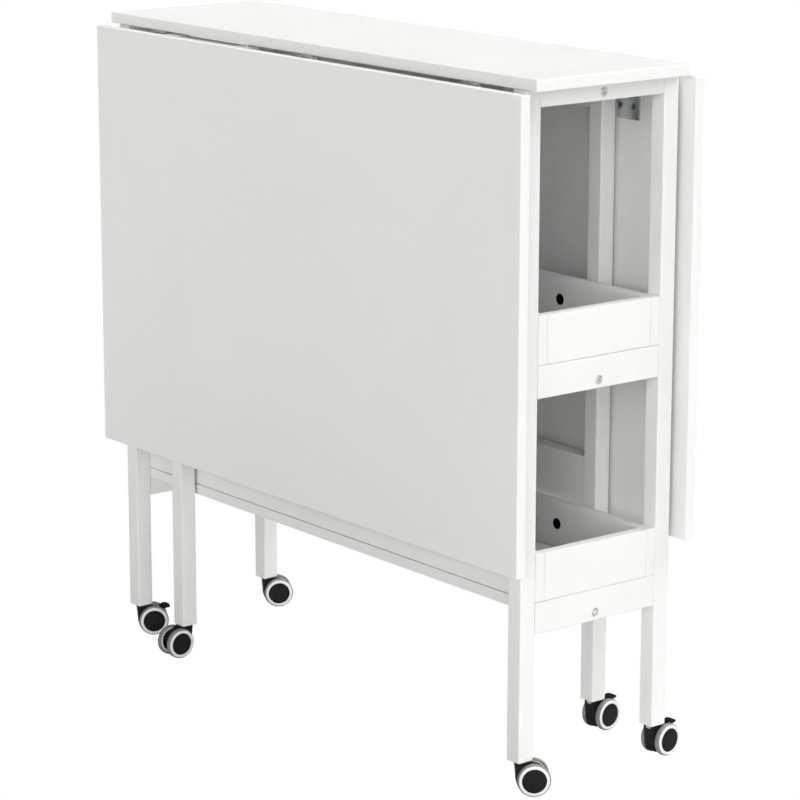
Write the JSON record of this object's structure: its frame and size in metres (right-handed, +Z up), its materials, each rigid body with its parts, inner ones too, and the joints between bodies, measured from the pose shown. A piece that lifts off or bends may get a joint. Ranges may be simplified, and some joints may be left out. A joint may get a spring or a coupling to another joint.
{
  "type": "gateleg table",
  "caption": "Narrow white table on swivel casters, folded: a drop leaf hangs on each long side over a gate with its own leg, above two full-length trays.",
  "frame": {"origin": "on the floor under the middle of the fixed top", "axes": "+X along the table towards its right end, -Y to the front leaf, +Z up"},
  "size_m": [0.7479, 0.2595, 0.74],
  "materials": {
    "white_paint": "white satin paint",
    "zinc_steel": "zinc plated",
    "black_plastic": "fine texture",
    "grey_tread": "light grey tread and rim"
  },
  "bodies": {
    "frame": {"top_board": "white_paint", "right_front_post": "white_paint", "right_rear_post": "white_paint", "right_top_rail": "white_paint", "right_middle_rail": "white_paint", "right_bottom_rail": "white_paint", "left_front_post": "white_paint", "left_rear_post": "white_paint", "left_top_rail": "white_paint", "left_middle_rail": "white_paint", "left_bottom_rail": "white_paint", "top_stretcher": "white_paint", "middle_stretcher": "white_paint", "bottom_stretcher": "white_paint", "upper_tray_panel": "white_paint", "upper_tray_front_side": "white_paint", "upper_tray_rear_side": "white_paint", "upper_tray_right_end": "white_paint", "upper_tray_left_end": "white_paint", "lower_tray_panel": "white_paint", "lower_tray_front_side": "white_paint", "lower_tray_rear_side": "white_paint", "lower_tray_right_end": "white_paint", "lower_tray_left_end": "white_paint", "front_gate_top_pivot": "zinc_steel", "front_gate_bottom_pivot": "zinc_steel", "rear_gate_top_pivot": "zinc_steel", "rear_gate_bottom_pivot": "zinc_steel"},
    "front_leaf": {"front_leaf": "white_paint", "front_leaf_hinge_left": "zinc_steel", "front_leaf_hinge_middle": "zinc_steel", "front_leaf_hinge_right": "zinc_steel"},
    "front_gate": {"front_gate_leg": "white_paint", "front_gate_stile": "white_paint", "front_gate_top_rail": "white_paint", "front_gate_lower_rail": "white_paint"},
    "rear_leaf": {"rear_leaf": "white_paint", "rear_leaf_hinge_left": "zinc_steel", "rear_leaf_hinge_middle": "zinc_steel", "rear_leaf_hinge_right": "zinc_steel"},
    "rear_gate": {"rear_gate_leg": "white_paint", "rear_gate_stile": "white_paint", "rear_gate_top_rail": "white_paint", "rear_gate_lower_rail": "white_paint"},
    "right_front_caster": {"right_front_caster_body": "black_plastic"},
    "right_front_wheels": {"right_front_caster_wheels": "grey_tread"},
    "right_rear_caster": {"right_rear_caster_body": "black_plastic"},
    "right_rear_wheels": {"right_rear_caster_wheels": "grey_tread"},
    "right_rear_brake": {"right_rear_caster_brake": "black_plastic"},
    "left_front_caster": {"left_front_caster_body": "black_plastic"},
    "left_front_wheels": {"left_front_caster_wheels": "grey_tread"},
    "left_front_brake": {"left_front_caster_brake": "black_plastic"},
    "left_rear_caster": {"left_rear_caster_body": "black_plastic"},
    "left_rear_wheels": {"left_rear_caster_wheels": "grey_tread"},
    "front_gate_caster": {"front_gate_caster_body": "black_plastic"},
    "front_gate_wheels": {"front_gate_caster_wheels": "grey_tread"},
    "rear_gate_caster": {"rear_gate_caster_body": "black_plastic"},
    "rear_gate_wheels": {"rear_gate_caster_wheels": "grey_tread"},
    "rear_gate_brake": {"rear_gate_caster_brake": "black_plastic"}
  },
  "joints": [
    {"name": "front_leaf_hinge", "type": "hinge", "parent": "frame", "child": "front_leaf", "pos_m": [0, -0.10525, 0.72325], "axis": [-1, 0, 0], "range_deg": [0, 90]},
    {"name": "front_gate_swing", "type": "hinge", "parent": "frame", "child": "front_gate", "pos_m": [-0.113, -0.09675, 0.48], "axis": [0, 0, 1], "range_deg": [0, 1.2]},
    {"name": "rear_leaf_hinge", "type": "hinge", "parent": "frame", "child": "rear_leaf", "pos_m": [0, 0.10525, 0.72325], "axis": [1, 0, 0], "range_deg": [0, 90]},
    {"name": "rear_gate_swing", "type": "hinge", "parent": "frame", "child": "rear_gate", "pos_m": [0.113, 0.09675, 0.48], "axis": [0, 0, 1], "range_deg": [0, 1.2]},
    {"name": "right_front_caster_swivel", "type": "hinge", "parent": "frame", "child": "right_front_caster", "pos_m": [0.34705, -0.09225, 0.0362], "axis": [0, 0, 1], "continuous": true},
    {"name": "right_front_wheel_roll", "type": "hinge", "parent": "right_front_caster", "child": "right_front_wheels", "pos_m": [0.35498, -0.08071, 0.0175], "axis": [-0.8241, 0.5664, 0], "continuous": true},
    {"name": "right_rear_caster_swivel", "type": "hinge", "parent": "frame", "child": "right_rear_caster", "pos_m": [0.34705, 0.09225, 0.0362], "axis": [0, 0, 1], "continuous": true},
    {"name": "right_rear_wheel_roll", "type": "hinge", "parent": "right_rear_caster", "child": "right_rear_wheels", "pos_m": [0.34583, 0.1062, 0.0175], "axis": [-0.9962, -0.0872, 0], "continuous": true},
    {"name": "right_rear_brake_lever", "type": "hinge", "parent": "right_rear_caster", "child": "right_rear_brake", "pos_m": [0.34522, 0.11317, 0.027], "axis": [-0.9962, -0.0872, 0], "range_deg": [0, 12]},
    {"name": "left_front_caster_swivel", "type": "hinge", "parent": "frame", "child": "left_front_caster", "pos_m": [-0.34705, -0.09225, 0.0362], "axis": [0, 0, 1], "continuous": true},
    {"name": "left_front_wheel_roll", "type": "hinge", "parent": "left_front_caster", "child": "left_front_wheels", "pos_m": [-0.34037, -0.07995, 0.0175], "axis": [-0.8788, 0.4772, 0], "continuous": true},
    {"name": "left_front_brake_lever", "type": "hinge", "parent": "left_front_caster", "child": "left_front_brake", "pos_m": [-0.33703, -0.07379, 0.027], "axis": [-0.8788, 0.4772, 0], "range_deg": [0, 12]},
    {"name": "left_rear_caster_swivel", "type": "hinge", "parent": "frame", "child": "left_rear_caster", "pos_m": [-0.34705, 0.09225, 0.0362], "axis": [0, 0, 1], "continuous": true},
    {"name": "left_rear_wheel_roll", "type": "hinge", "parent": "left_rear_caster", "child": "left_rear_wheels", "pos_m": [-0.34037, 0.10455, 0.0175], "axis": [-0.8788, 0.4772, 0], "continuous": true},
    {"name": "front_gate_caster_swivel", "type": "hinge", "parent": "front_gate", "child": "front_gate_caster", "pos_m": [-0.248, -0.09675, 0.0362], "axis": [0, 0, 1], "continuous": true},
    {"name": "front_gate_wheel_roll", "type": "hinge", "parent": "front_gate_caster", "child": "front_gate_wheels", "pos_m": [-0.24837, -0.11074, 0.0175], "axis": [0.9997, -0.0262, 0], "continuous": true},
    {"name": "rear_gate_caster_swivel", "type": "hinge", "parent": "rear_gate", "child": "rear_gate_caster", "pos_m": [0.248, 0.09675, 0.0362], "axis": [0, 0, 1], "continuous": true},
    {"name": "rear_gate_wheel_roll", "type": "hinge", "parent": "rear_gate_caster", "child": "rear_gate_wheels", "pos_m": [0.24678, 0.1107, 0.0175], "axis": [-0.9962, -0.0872, 0], "continuous": true},
    {"name": "rear_gate_brake_lever", "type": "hinge", "parent": "rear_gate_caster", "child": "rear_gate_brake", "pos_m": [0.24617, 0.11767, 0.027], "axis": [-0.9962, -0.0872, 0], "range_deg": [0, 12]}
  ]
}
